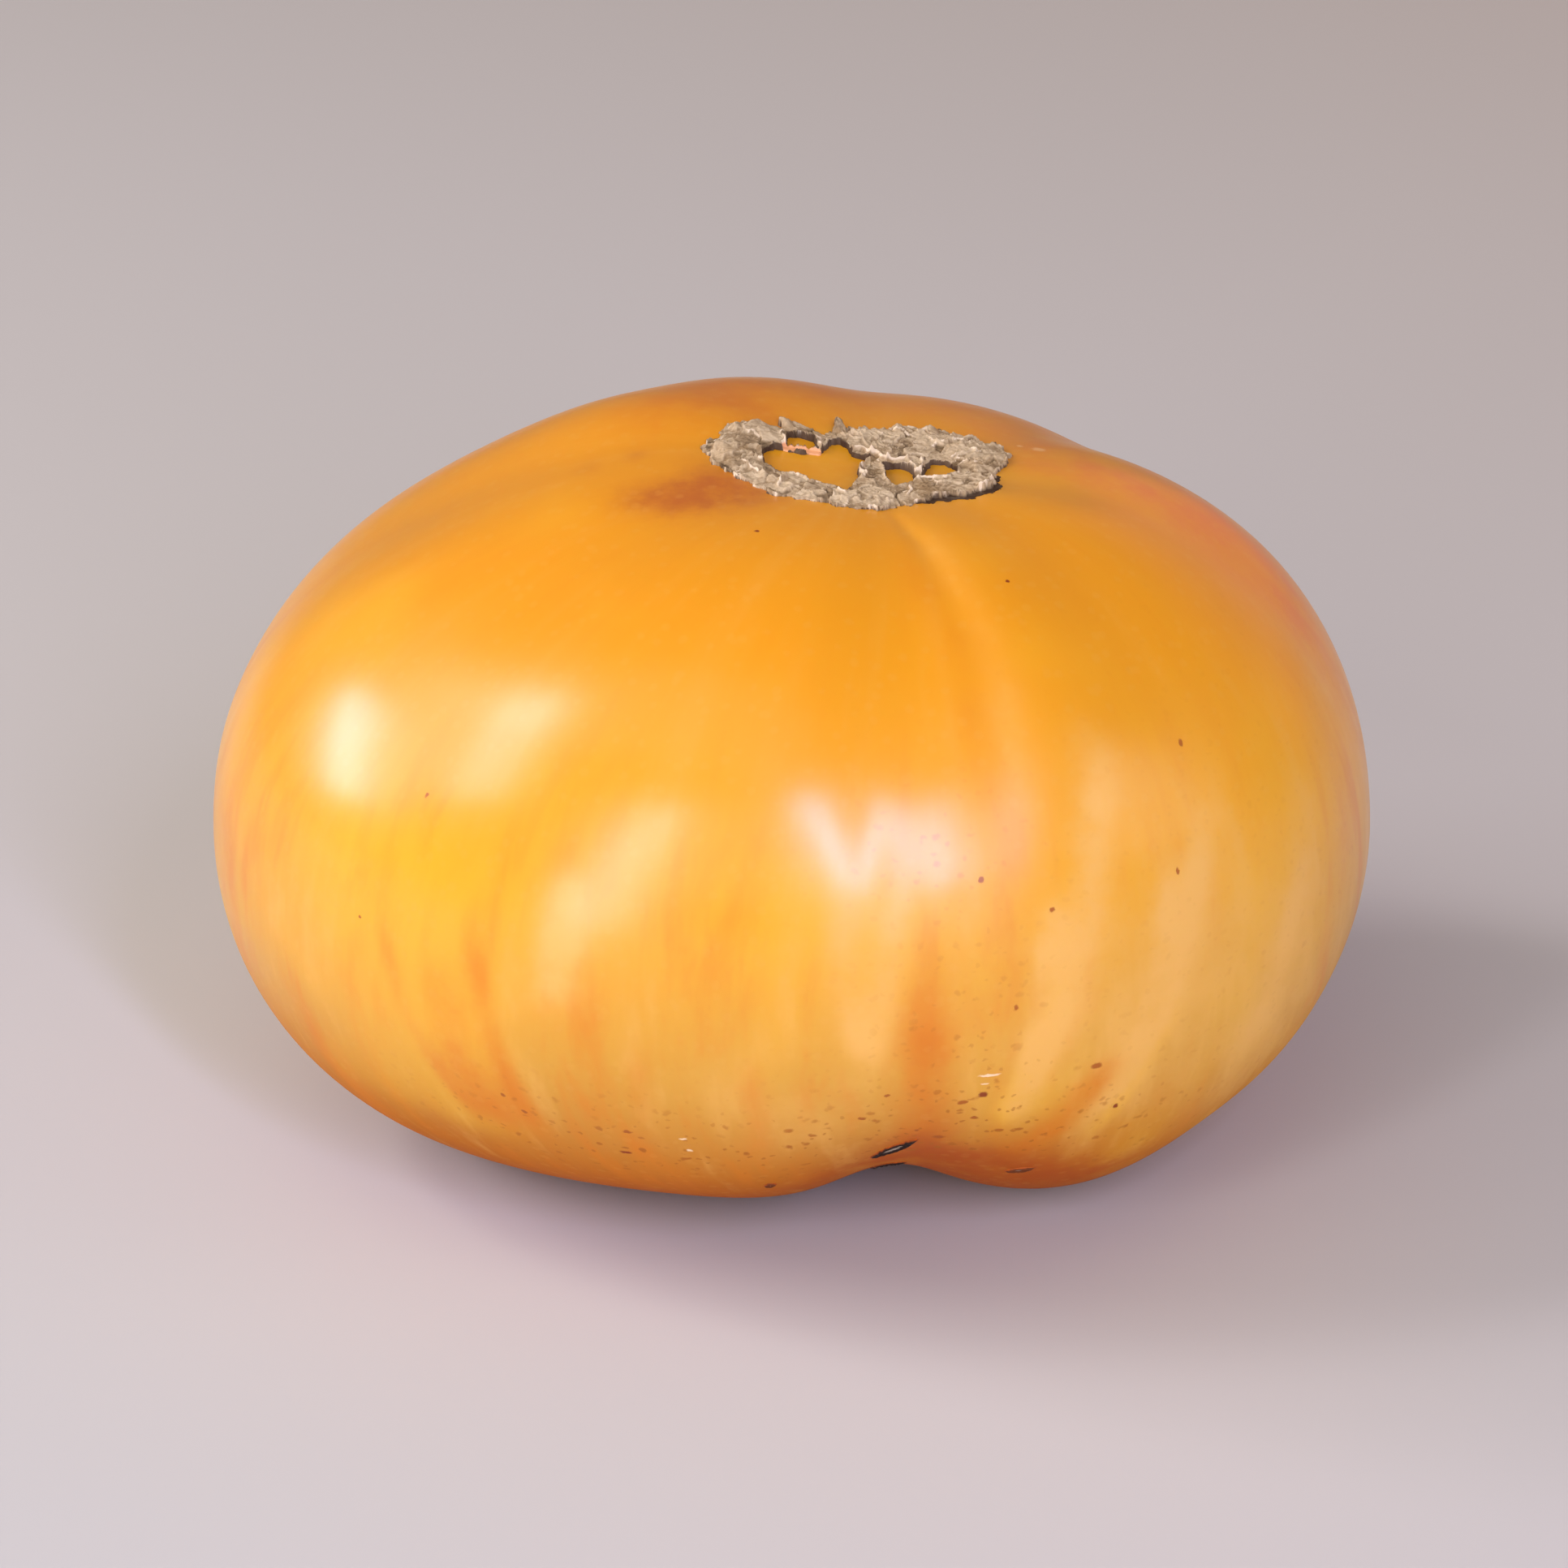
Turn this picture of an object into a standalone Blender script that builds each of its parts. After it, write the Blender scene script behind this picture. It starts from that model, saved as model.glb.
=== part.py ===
"""A large ribbed beefsteak tomato, lying on its blossom end, with the dry corky scar of its stalk on top.

Frame: metres, +Z up, +X the fruit's longest side, -Y the side with the deepest furrow. The origin is
on the surface it rests on, under the middle of the fruit's box.

Every point of the skin has a longitude, 0 at +X and 90 at +Y, and a polar angle, 0 at the stem end and
180 at the blossom end. The fruit is a rounded ball in those two angles, pushed out by swells, drawn in
along furrows, hollowed at both ends and pressed flat where its lobes rest. The scar is a thin mat laid
in the stem hollow, with a ragged rim, lumpy cork and bare openings.
"""

import math

import bpy
import numpy as np
from mathutils import Vector, noise

MM = 0.001

# The ball, before its swells and furrows.
HALF_WIDTH = 52.8 * MM
HALF_DEPTH = 49.0 * MM
STEM_HEIGHT = 35.1 * MM  # from the widest level to the stem end
BLOSSOM_HEIGHT = 32.8 * MM  # from the widest level to the blossom end
STEM_FULLNESS = 2.28  # 2 is an ellipse, and more is squarer
BLOSSOM_FULLNESS = 2.14
REST_DEPTH = 30.9 * MM  # from the widest level to the surface it rests on

# Each end's hollow: how deep and wide it is, and how far the end lies off the ball's axis.
STEM_HOLLOW = {"depth": 3.1 * MM, "radius": 17.0 * MM, "off_axis": (6.0 * MM, -2.9 * MM)}
BLOSSOM_HOLLOW = {"depth": 5.0 * MM, "radius": 13.0 * MM, "off_axis": (5.8 * MM, 0.0)}

# Swells: longitude, polar angle, height (less than 0 is a flat) and spread in degrees.
SWELLS = {
    "left_shoulder": (178, 55, 0.6 * MM, 35),
    "right_shoulder": (0, 53, -2.3 * MM, 31),
    "back_left_crown": (142, 21, 2.7 * MM, 16),
    "back_right_crown": (52, 47, -2.1 * MM, 22),
    "left_heel": (-165, 135, 4.2 * MM, 30),
    "right_heel": (-12, 135, 0.4 * MM, 30),
    "front_heel": (-120, 150, -1.1 * MM, 25),
    "right_toe": (20, 150, 0.6 * MM, 20),
    "back_toe": (75, 150, 1.0 * MM, 20),
    "back_left_toe": (130, 150, -0.5 * MM, 20),
}

# Furrows: longitude, its turn towards the blossom end and its half width, all in degrees, and its
# depth at the stem end, at the widest level and at the blossom end (less than 0 is a rib).
FURROWS = {
    "front": (-80, -2, 13, 1.2 * MM, 0.6 * MM, 3.4 * MM),
    "front_left": (-140, 1, 14, 0.5 * MM, 0.3 * MM, -0.2 * MM),
    "front_right": (-48, -5.5, 12, 0.6 * MM, 0.3 * MM, -1.4 * MM),
    "right": (-8, 0, 14, 0.7 * MM, 0.3 * MM, 2.0 * MM),
    "back_right": (38, 0, 13, 0.8 * MM, 0.4 * MM, 2.2 * MM),
    "back": (88, 0, 13, 0.7 * MM, 0.4 * MM, 2.5 * MM),
    "back_left": (133, 0, 14, 0.6 * MM, 0.3 * MM, 2.2 * MM),
    "left": (176, 0, 14, 0.7 * MM, 0.3 * MM, 2.2 * MM),
}

FRUIT_SEGMENTS = 80
FRUIT_RINGS = 50

# The stem scar. Its shape is measured from its middle, which lies beside the stem end.
SCAR_MIDDLE = (0.3 * MM, -1.0 * MM)
SCAR_HALF_WIDTH = 13.6 * MM
SCAR_HALF_DEPTH = 9.6 * MM
SCAR_GAP = 0.3 * MM  # clearance between the mat and the skin under it
SCAR_RIM_THICKNESS = 0.4 * MM
SCAR_THICKNESS = 0.8 * MM
SCAR_SEGMENTS = 90
SCAR_RINGS = 26
RING_CROWDING = 1.3  # more than 1 draws the mat's rings together at its rim
RAGGED_WAVES = ((7, 0.035), (17, 0.03), (31, 0.03))  # waves round the rim, and their share of its radius
LUMP_HEIGHT = 0.6 * MM
LUMP_SIZE = 1.7 * MM

# A bite is where an outline is drawn in: its direction and half width in degrees, and its depth.
RIM_BITE = (124, 15, 2.6 * MM)
# Openings: middle, half width, half depth, turn in degrees, and the bite of cork that juts into it.
OPENINGS = {
    "large": ((-4.4 * MM, -0.6 * MM), 4.1 * MM, 4.7 * MM, 15, (77, 14, 1.7 * MM)),
    "small": ((2.9 * MM, -2.2 * MM), 1.0 * MM, 2.0 * MM, 20, (180, 20, 0.1 * MM)),
    "right": ((6.3 * MM, 0.0 * MM), 1.5 * MM, 2.1 * MM, -10, (200, 20, 0.4 * MM)),
}
CUTTER_SIDES = 28
CUTTER_HEIGHT = 20.0 * MM

SKIN_COLOUR = (0.86, 0.36, 0.04)
CORK_COLOUR = (0.35, 0.29, 0.20)


def clear_scene():
    for thing in list(bpy.data.objects):
        bpy.data.objects.remove(thing)


def new_collection(name):
    collection = bpy.data.collections.new(name)
    bpy.context.scene.collection.children.link(collection)
    return collection


def move_to(thing, collection):
    for old in list(thing.users_collection):
        old.objects.unlink(thing)
    collection.objects.link(thing)


def new_material(name, colour, roughness):
    material = bpy.data.materials.new(name)
    material.use_nodes = True
    shader = material.node_tree.nodes["Principled BSDF"]
    shader.inputs["Base Color"].default_value = (*colour, 1.0)
    shader.inputs["Roughness"].default_value = roughness
    shader.inputs["Metallic"].default_value = 0.0
    return material


def turn_between(angle, other):
    """The turn from one angle to another, at most half a circle either way."""
    return (angle - other + math.pi) % (2 * math.pi) - math.pi


def groove(angle, middle, half_width):
    """1 along a groove's middle, fading to 0 on both sides; the groove's angles are in degrees."""
    return np.exp(-((turn_between(angle, math.radians(middle)) / math.radians(half_width)) ** 2))


def directions(longitude, polar):
    """Unit vectors at those angles, one row each."""
    level = np.sin(polar)
    return np.stack([level * np.cos(longitude), level * np.sin(longitude), np.cos(polar)], axis=-1)


def ball(longitude, polar):
    """The rounded ball: an ellipse in plan and a superellipse from end to end."""
    sine, cosine = np.sin(polar), np.cos(polar)
    stemward = (1 + cosine) / 2
    fullness = BLOSSOM_FULLNESS + (STEM_FULLNESS - BLOSSOM_FULLNESS) * stemward
    height = BLOSSOM_HEIGHT + (STEM_HEIGHT - BLOSSOM_HEIGHT) * stemward
    reach = (np.abs(sine) ** fullness + np.abs(cosine) ** fullness) ** (-1 / fullness)
    x = reach * sine * np.cos(longitude) * HALF_WIDTH
    y = reach * sine * np.sin(longitude) * HALF_DEPTH
    return np.stack([x, y, reach * cosine * height], axis=-1)


def swells(outward):
    """How far the swells push out: each is a round bump that fades with the angle from its middle."""
    push = np.zeros(len(outward))
    for longitude, polar, height, spread in SWELLS.values():
        middle = directions(math.radians(longitude), math.radians(polar))
        push += height * np.exp(2 * (outward @ middle - 1) / math.radians(spread) ** 2)
    return push


def furrows(longitude, polar):
    """How far the furrows draw in: each follows a line of longitude, and its depth changes on the way."""
    sine = np.sin(polar)
    stemward = np.clip(np.cos(polar), 0, 1)
    blossomward = np.clip(-np.cos(polar), 0, 1)
    pull = np.zeros(len(polar))
    for angle, turn, half_width, at_stem, at_middle, at_blossom in FURROWS.values():
        turned = longitude - math.radians(turn) * blossomward**2
        depth = 4 * at_stem * (stemward * sine) ** 2 + at_middle * sine**2
        depth += 3 * at_blossom * blossomward**2 * sine**1.5
        pull += groove(turned, angle, half_width) * depth
    return pull


def skin_points(longitude, polar):
    """Points of the skin, with the widest level at z = 0 and the lobes not pressed flat yet."""
    outward = directions(longitude, polar)
    push = swells(outward) - furrows(longitude, polar)
    points = ball(longitude, polar) + outward * push[:, None]
    from_axis = np.hypot(points[:, 0], points[:, 1])
    for hollow, end in ((STEM_HOLLOW, 1), (BLOSSOM_HOLLOW, -1)):
        endward = np.clip(end * np.cos(polar), 0, 1)
        dip = hollow["depth"] * np.exp(-((from_axis / hollow["radius"]) ** 2))
        points[:, 2] -= end * dip * (endward > 0)
        points[:, 0] += hollow["off_axis"][0] * endward**2
        points[:, 1] += hollow["off_axis"][1] * endward**2
    return points


def unit_sphere(name, segments, rings, material, collection):
    """A sphere to be reshaped, with the longitude and the polar angle of each of its vertices."""
    bpy.ops.mesh.primitive_uv_sphere_add(segments=segments, ring_count=rings, radius=1.0)
    sphere = bpy.context.object
    sphere.name = name
    sphere.data.materials.append(material)
    move_to(sphere, collection)
    points = vertices_of(sphere)
    longitude = np.arctan2(points[:, 1], points[:, 0])
    polar = np.arccos(np.clip(points[:, 2], -1, 1))
    return sphere, longitude, polar


def vertices_of(thing):
    points = np.empty(len(thing.data.vertices) * 3)
    thing.data.vertices.foreach_get("co", points)
    return points.reshape(-1, 3)


def reshape(thing, points):
    thing.data.vertices.foreach_set("co", points.ravel())
    thing.data.update()


def make_fruit(collection):
    """The fruit, set on the ground over the origin; returns how far that moved it."""
    skin = new_material("tomato_skin", SKIN_COLOUR, 0.3)
    fruit, longitude, polar = unit_sphere("fruit", FRUIT_SEGMENTS, FRUIT_RINGS, skin, collection)
    points = skin_points(longitude, polar)
    points[:, 2] = np.maximum(points[:, 2], -REST_DEPTH)
    middle = (points.min(axis=0) + points.max(axis=0)) / 2
    move = np.array([-middle[0], -middle[1], REST_DEPTH])
    reshape(fruit, points + move)
    fruit.data.shade_smooth()
    return move


def oval_radius(angle, half_width, half_depth):
    """The distance from an ellipse's middle to its edge in that direction."""
    return 1 / np.hypot(np.cos(angle) / half_width, np.sin(angle) / half_depth)


def rim_radius(angle):
    """The distance from the scar's middle to its rim: an oval with waves and one bite."""
    waves = sum(share * np.sin(count * angle + count) for count, share in RAGGED_WAVES)
    direction, half_width, depth = RIM_BITE
    radius = oval_radius(angle, SCAR_HALF_WIDTH, SCAR_HALF_DEPTH) * (1 + waves)
    return radius - depth * groove(angle, direction, half_width)


def cork_lumps(x, y):
    """The height of the lumps in the cork, from 0 to 1, over points of the mat."""
    places = [Vector((across, along, 0)) / LUMP_SIZE for across, along in zip(x, y)]
    coarse = np.array([abs(noise.noise(place)) for place in places])
    fine = np.array([noise.noise(2 * place) for place in places])
    return np.clip(2 * coarse + 0.5 * fine, 0, 1)


def make_scar(collection, cutters, move):
    """The corky mat: a sphere pressed flat onto the skin, with its upper half lumpy and openings cut."""
    cork = new_material("stem_cork", CORK_COLOUR, 0.85)
    scar, longitude, polar = unit_sphere("stem_scar", SCAR_SEGMENTS, SCAR_RINGS, cork, collection)
    rimward = np.sin(polar) ** RING_CROWDING
    radius = rim_radius(longitude) * rimward
    x = SCAR_MIDDLE[0] + radius * np.cos(longitude)
    y = SCAR_MIDDLE[1] + radius * np.sin(longitude)
    under_x, under_y = x / HALF_WIDTH, y / HALF_DEPTH
    points = skin_points(np.arctan2(under_y, under_x), np.hypot(under_x, under_y))
    raised = np.clip(np.cos(polar), 0, 1) ** 0.5
    inner = SCAR_THICKNESS - SCAR_RIM_THICKNESS + LUMP_HEIGHT * cork_lumps(x, y)
    on_top = polar < math.pi / 2 + 0.001
    points[:, 2] += SCAR_GAP + on_top * (SCAR_RIM_THICKNESS + raised * inner)
    reshape(scar, points + move)
    scar_middle = move[:2] + np.array(STEM_HOLLOW["off_axis"]) + np.array(SCAR_MIDDLE)
    for name, opening in OPENINGS.items():
        cut_opening(scar, name, opening, scar_middle, cutters)


def cut_opening(scar, name, opening, scar_middle, cutters):
    """Cuts one opening, an oval with a bite of cork jutting into it, right through the mat."""
    middle, half_width, half_depth, turn, (direction, bite_width, bite_depth) = opening
    bpy.ops.mesh.primitive_cylinder_add(
        vertices=CUTTER_SIDES,
        radius=1.0,
        depth=CUTTER_HEIGHT,
        location=(scar_middle[0] + middle[0], scar_middle[1] + middle[1], REST_DEPTH + STEM_HEIGHT),
        rotation=(0, 0, math.radians(turn)),
    )
    cutter = bpy.context.object
    cutter.name = "cutter_" + name
    cutter.hide_render = True
    cutter.display_type = "WIRE"
    move_to(cutter, cutters)
    points = vertices_of(cutter)
    angle = np.arctan2(points[:, 1], points[:, 0])
    radius = oval_radius(angle, half_width, half_depth) - bite_depth * groove(angle, direction, bite_width)
    points[:, :2] *= radius[:, None]
    reshape(cutter, points)
    cut = scar.modifiers.new("opening_" + name, "BOOLEAN")
    cut.operation = "DIFFERENCE"
    cut.solver = "EXACT"
    cut.object = cutter


def main():
    clear_scene()
    tomato = new_collection("tomato")
    cutters = new_collection("cutters")
    move = make_fruit(tomato)
    make_scar(tomato, cutters, move)


main()
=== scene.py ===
# A large ribbed beefsteak tomato with a corky scar where its stalk was, on a pale floor in soft light.

import math

import bpy
import numpy as np
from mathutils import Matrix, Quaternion, Vector


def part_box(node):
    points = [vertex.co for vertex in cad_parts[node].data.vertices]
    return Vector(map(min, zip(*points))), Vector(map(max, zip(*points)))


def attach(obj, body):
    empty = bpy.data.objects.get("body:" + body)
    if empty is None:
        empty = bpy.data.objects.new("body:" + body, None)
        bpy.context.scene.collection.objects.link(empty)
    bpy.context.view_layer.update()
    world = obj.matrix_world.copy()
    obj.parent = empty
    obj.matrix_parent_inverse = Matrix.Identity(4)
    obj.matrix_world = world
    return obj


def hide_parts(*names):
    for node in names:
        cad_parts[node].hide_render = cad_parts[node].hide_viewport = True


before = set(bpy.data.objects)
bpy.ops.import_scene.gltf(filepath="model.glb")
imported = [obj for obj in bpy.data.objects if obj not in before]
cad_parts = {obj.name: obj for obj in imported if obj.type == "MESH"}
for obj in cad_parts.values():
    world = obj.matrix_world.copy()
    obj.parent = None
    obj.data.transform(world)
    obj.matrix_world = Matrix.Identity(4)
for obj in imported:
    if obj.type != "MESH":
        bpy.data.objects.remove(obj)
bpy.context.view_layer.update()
fruitLow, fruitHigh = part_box("fruit")
mm = 0.001
degree = math.pi / 180


def smoothStep(value, low, high):
    # 0 below low, 1 above high, and an S curve between them
    share = np.clip((value - low) / (high - low), 0, 1)
    return share * share * (3 - 2 * share)


def latticeNoise(points, seed):
    # each lattice corner has a random slope, and a point blends the eight slopes round it; about -1 to 1
    random = np.random.default_rng(seed)
    order = np.tile(random.permutation(256), 3)
    slopes = random.normal(size=(256, 3))
    slopes /= np.linalg.norm(slopes, axis=1)[:, None]
    cell = np.floor(points).astype(int)
    part = points - cell
    fade = part**3 * (part * (part * 6 - 15) + 10)
    total = np.zeros(len(points))
    for corner in np.ndindex(2, 2, 2):
        x, y, z = ((cell + corner) & 255).T
        slope = slopes[order[order[order[x] + y] + z]]
        weight = np.prod(np.where(np.array(corner) == 1, fade, 1 - fade), axis=1)
        total += weight * np.sum(slope * (part - corner), axis=1)
    return 1.6 * total


def crumple(points, seed, folds=3):
    # sharp ridges: 1 less the size of the noise, at sizes that halve and heights that halve; about 0 to 1
    total, height = np.zeros(len(points)), 1.0
    for fold in range(folds):
        total += height * (1 - 2 * np.abs(latticeNoise(points * 2**fold, seed + fold)))
        height *= 0.5
    return 0.5 + 0.5 * total / 1.5


def curledFlakes(x, y, size, seed):
    # flakes laid over each other: each is an ellipse round a spot in a grid's square, turned and tilted its
    # own way, with its edge curled up. Gives the height of the flake on top, about -0.6 to 1.2, how near its
    # edge a place is, and how far that flake stands over the next one down.
    random = np.random.default_rng(seed)
    count = 64
    spotX, spotY, level, tilt, turn = random.random((5, count, count))
    across, along = x / size, y / size
    top, under, rim = np.full(len(x), -0.6), np.full(len(x), -0.6), np.zeros(len(x))
    for stepX, stepY in np.ndindex(3, 3):
        squareX = np.floor(across).astype(int) + stepX - 1
        squareY = np.floor(along).astype(int) + stepY - 1
        i, j = squareX % count, squareY % count
        offX = across - squareX - spotX[i, j]
        offY = along - squareY - spotY[i, j]
        cosine, sine = np.cos(2 * math.pi * turn[i, j]), np.sin(2 * math.pi * turn[i, j])
        lengthways = (cosine * offX + sine * offY) / 0.95
        sideways = (cosine * offY - sine * offX) / 0.55
        out = np.hypot(lengthways, sideways)
        height = 0.9 * level[i, j] - 0.45 + 0.6 * (tilt[i, j] - 0.1) * lengthways + 0.45 * out**4
        height = np.where(out < 1, height, -0.6)
        higher = height > top
        under = np.where(higher, top, np.maximum(under, height))
        rim = np.where(higher, out, rim)
        top = np.where(higher, height, top)
    return top, rim, top - under


# the form of the fruit, as the solid has it: longitude 0 at +X, polar angle 0 at the stem end
fruitShape = {
    "halfWidth": 52.8 * mm,
    "halfDepth": 49.0 * mm,
    "stemHeight": 35.1 * mm,  # from the widest level to the stem end
    "blossomHeight": 32.8 * mm,
    "stemFullness": 2.28,  # 2 is an ellipse, and more is squarer
    "blossomFullness": 2.14,
    "restDepth": 30.9 * mm,  # from the widest level to the floor
    "hollows": (  # end, depth, radius, and how far the end lies off the axis
        (1, 3.1 * mm, 17.0 * mm, (6.0 * mm, -2.9 * mm)),
        (-1, 5.0 * mm, 13.0 * mm, (5.8 * mm, 0.0)),
    ),
    "swells": (  # longitude, polar angle, height, spread in degrees
        (178, 55, 0.6 * mm, 35),
        (0, 53, -2.3 * mm, 31),
        (142, 21, 2.7 * mm, 16),
        (52, 47, -2.1 * mm, 22),
        (-165, 135, 4.2 * mm, 30),
        (-12, 135, 0.4 * mm, 30),
        (-120, 150, -1.1 * mm, 25),
        (20, 150, 0.6 * mm, 20),
        (75, 150, 1.0 * mm, 20),
        (130, 150, -0.5 * mm, 20),
    ),
    "furrows": (  # longitude, turn, half width, then depth at the stem end, at the middle, at the blossom
        (-80, -2, 13, 1.2 * mm, 0.6 * mm, 3.4 * mm),
        (-140, 1, 14, 0.5 * mm, 0.3 * mm, -0.2 * mm),
        (-48, -5.5, 12, 0.6 * mm, 0.3 * mm, -1.4 * mm),
        (-8, 0, 14, 0.7 * mm, 0.3 * mm, 2.0 * mm),
        (38, 0, 13, 0.8 * mm, 0.4 * mm, 2.2 * mm),
        (88, 0, 13, 0.7 * mm, 0.4 * mm, 2.5 * mm),
        (133, 0, 14, 0.6 * mm, 0.3 * mm, 2.2 * mm),
        (176, 0, 14, 0.7 * mm, 0.3 * mm, 2.2 * mm),
    ),
    "creases": (  # soft ones: half width in degrees, and polar angles, longitudes and depths in mm along each
        (3.2, (
            (10, -80, 0.0), (20, -74, 0.22), (38, -70.5, 0.18), (54, -71, 0.10), (66, -72.5, 0.04),
            (90, -78, 0.08), (118, -82, 0.0),
        )),
        (2.3, ((50, -85.2, 0.0), (60, -84.8, 0.10), (75, -83.8, 0.08), (92, -83, 0.0))),
        (1.2, ((66, -80, 0.0), (75, -79.8, 0.05), (86, -80, 0.0))),
        (4.0, ((44, -69, 0.0), (58, -69.5, 0.17), (70, -70, 0.17), (84, -72, 0.06), (96, -73, 0.0))),
    ),
    "ribs": 0.16 * mm,  # shallow ribs from end to end, seen only as breaks in a highlight
    "ribCount": 4.6,  # ribs over one radian
    "dents": 0.14 * mm,
    "dentSize": 17 * mm,
}


def turnBetween(angle, other):
    # the turn from one angle to another, at most half a circle either way
    return (angle - other + math.pi) % (2 * math.pi) - math.pi


def directionsOf(longitude, polar):
    # a step of 1 from the middle: level part sin(polar), turned by the longitude, and cos(polar) up
    level = np.sin(polar)
    return np.stack([level * np.cos(longitude), level * np.sin(longitude), np.cos(polar)], axis=-1)


def ballOf(longitude, polar):
    # an ellipse in plan and, from end to end, a superellipse: |across|^n + |up|^n = 1
    sine, cosine = np.sin(polar), np.cos(polar)
    stemward = (1 + cosine) / 2
    s = fruitShape
    fullness = s["blossomFullness"] + (s["stemFullness"] - s["blossomFullness"]) * stemward
    height = s["blossomHeight"] + (s["stemHeight"] - s["blossomHeight"]) * stemward
    reach = (np.abs(sine) ** fullness + np.abs(cosine) ** fullness) ** (-1 / fullness)
    x = reach * sine * np.cos(longitude) * s["halfWidth"]
    y = reach * sine * np.sin(longitude) * s["halfDepth"]
    return np.stack([x, y, reach * cosine * height], axis=-1)


def formPush(longitude, polar, outward):
    # swells are round bumps on the ball, and furrows are bells across a line of longitude
    push = np.zeros(len(polar))
    for angle, down, height, spread in fruitShape["swells"]:
        middle = directionsOf(angle * degree, down * degree)
        push += height * np.exp(2 * (outward @ middle - 1) / (spread * degree) ** 2)
    sine = np.sin(polar)
    stemward = np.clip(np.cos(polar), 0, 1)
    blossomward = np.clip(-np.cos(polar), 0, 1)
    for angle, turn, halfWidth, atStem, atMiddle, atBlossom in fruitShape["furrows"]:
        turned = longitude - turn * degree * blossomward**2
        bell = np.exp(-((turnBetween(turned, angle * degree) / (halfWidth * degree)) ** 2))
        depth = 4 * atStem * (stemward * sine) ** 2 + atMiddle * sine**2
        push -= bell * (depth + 3 * atBlossom * blossomward**2 * sine**1.5)
    return push


def finePull(longitude, polar, points):
    # noise drawn out along the meridians, and wide soft dents; all of it draws in
    place = np.stack([np.cos(longitude), np.sin(longitude), 0.12 * polar], axis=-1)
    ribs = 0.5 + 0.5 * latticeNoise(fruitShape["ribCount"] * place, 11)
    dents = 0.5 + 0.5 * latticeNoise(points / fruitShape["dentSize"], 12)
    pull = fruitShape["ribs"] * ribs * np.sin(polar) ** 2 + fruitShape["dents"] * dents
    for halfWidth, path in fruitShape["creases"]:
        downs, turns, depths = np.array(path).T
        across = turnBetween(longitude, np.interp(polar / degree, downs, turns) * degree)
        depth = np.interp(polar / degree, downs, depths) * mm
        pull = pull + depth * np.exp(-((across / degree / halfWidth) ** 2))
    return pull


def skinAt(longitude, polar, fine=True):
    # the ball pushed out along its directions, hollowed at its ends and pressed flat on the floor
    outward = directionsOf(longitude, polar)
    ball = ballOf(longitude, polar)
    push = formPush(longitude, polar, outward)
    if fine:
        push = push - finePull(longitude, polar, ball)
    points = ball + outward * push[:, None]
    fromAxis = np.hypot(points[:, 0], points[:, 1])
    for end, depth, radius, offAxis in fruitShape["hollows"]:
        endward = np.clip(end * np.cos(polar), 0, 1)
        points[:, 2] -= end * depth * np.exp(-((fromAxis / radius) ** 2)) * (endward > 0)
        points[:, 0] += offAxis[0] * endward**2
        points[:, 1] += offAxis[1] * endward**2
    points[:, 2] = np.maximum(points[:, 2], -fruitShape["restDepth"])
    return points + formMove


def findMove():
    # the solid stands with the middle of its box over the origin and its widest level this far up
    longitude, polar = np.meshgrid(np.linspace(-math.pi, math.pi, 721), np.linspace(0, math.pi, 361))
    points = skinAt(longitude.ravel(), polar.ravel(), fine=False)
    middle = (points.min(axis=0) + points.max(axis=0)) / 2
    boxMiddle = (np.array(fruitLow) + np.array(fruitHigh)) / 2
    return np.array([boxMiddle[0] - middle[0], boxMiddle[1] - middle[1], fruitShape["restDepth"]])


formMove = np.zeros(3)
formMove = findMove()
print("form placed at", [round(float(value) / mm, 2) for value in formMove], "mm")


def planToAngles(x, y, end=1):
    # a place measured flat from an end of the fruit, as a longitude and a polar angle
    across, along = x / fruitShape["halfWidth"], y / fruitShape["halfDepth"]
    polar = np.hypot(across, along)
    return np.arctan2(along, across), polar if end > 0 else math.pi - polar


def ringGrid(rings, columns):
    # faces of a closed surface: a first pole, rings of the same length, and a last pole
    ring = np.arange(rings)[:, None] * columns + 1
    here = ring + np.arange(columns)
    after = ring + (np.arange(columns) + 1) % columns
    quads = np.stack([here[:-1], here[1:], after[1:], after[:-1]], axis=-1).reshape(-1, 4)
    last = rings * columns + 1
    first = np.stack([np.zeros(columns, int), here[0], after[0]], axis=-1)
    final = np.stack([np.full(columns, last), after[-1], here[-1]], axis=-1)
    return quads, np.concatenate([first, final])


def addObject(name, data):
    # a named object for a mesh, light or camera, put in the scene
    made = bpy.data.objects.new(name, data)
    bpy.context.scene.collection.objects.link(made)
    return made


def makeMesh(name, points, rings, columns, material, attributes):
    # the points of a ring grid as a smooth mesh, with a vector attribute for each of the named arrays
    quads, triangles = ringGrid(rings, columns)
    mesh = bpy.data.meshes.new(name)
    mesh.from_pydata(points.tolist(), [], triangles.tolist() + quads.tolist())
    mesh.materials.append(material)
    for key, values in attributes.items():
        layer = mesh.attributes.new(key, "FLOAT_VECTOR", "POINT")
        layer.data.foreach_set("vector", values.astype(np.float32).ravel())
    mesh.shade_smooth()
    mesh.update()
    return addObject(name, mesh)


class Wire:
    # an output socket; arithmetic on it adds Math nodes
    def __init__(self, finish, socket):
        self.finish = finish
        self.socket = socket

    def math(self, operation, first, second):
        return self.finish.node("ShaderNodeMath", {"operation": operation}, {0: first, 1: second})

    def __add__(self, other):
        return self.math("ADD", self, other)

    def __mul__(self, other):
        return self.math("MULTIPLY", self, other)

    def __sub__(self, other):
        return self.math("SUBTRACT", self, other)

    def __rsub__(self, other):
        return self.math("SUBTRACT", other, self)

    __radd__ = __add__
    __rmul__ = __mul__


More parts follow.
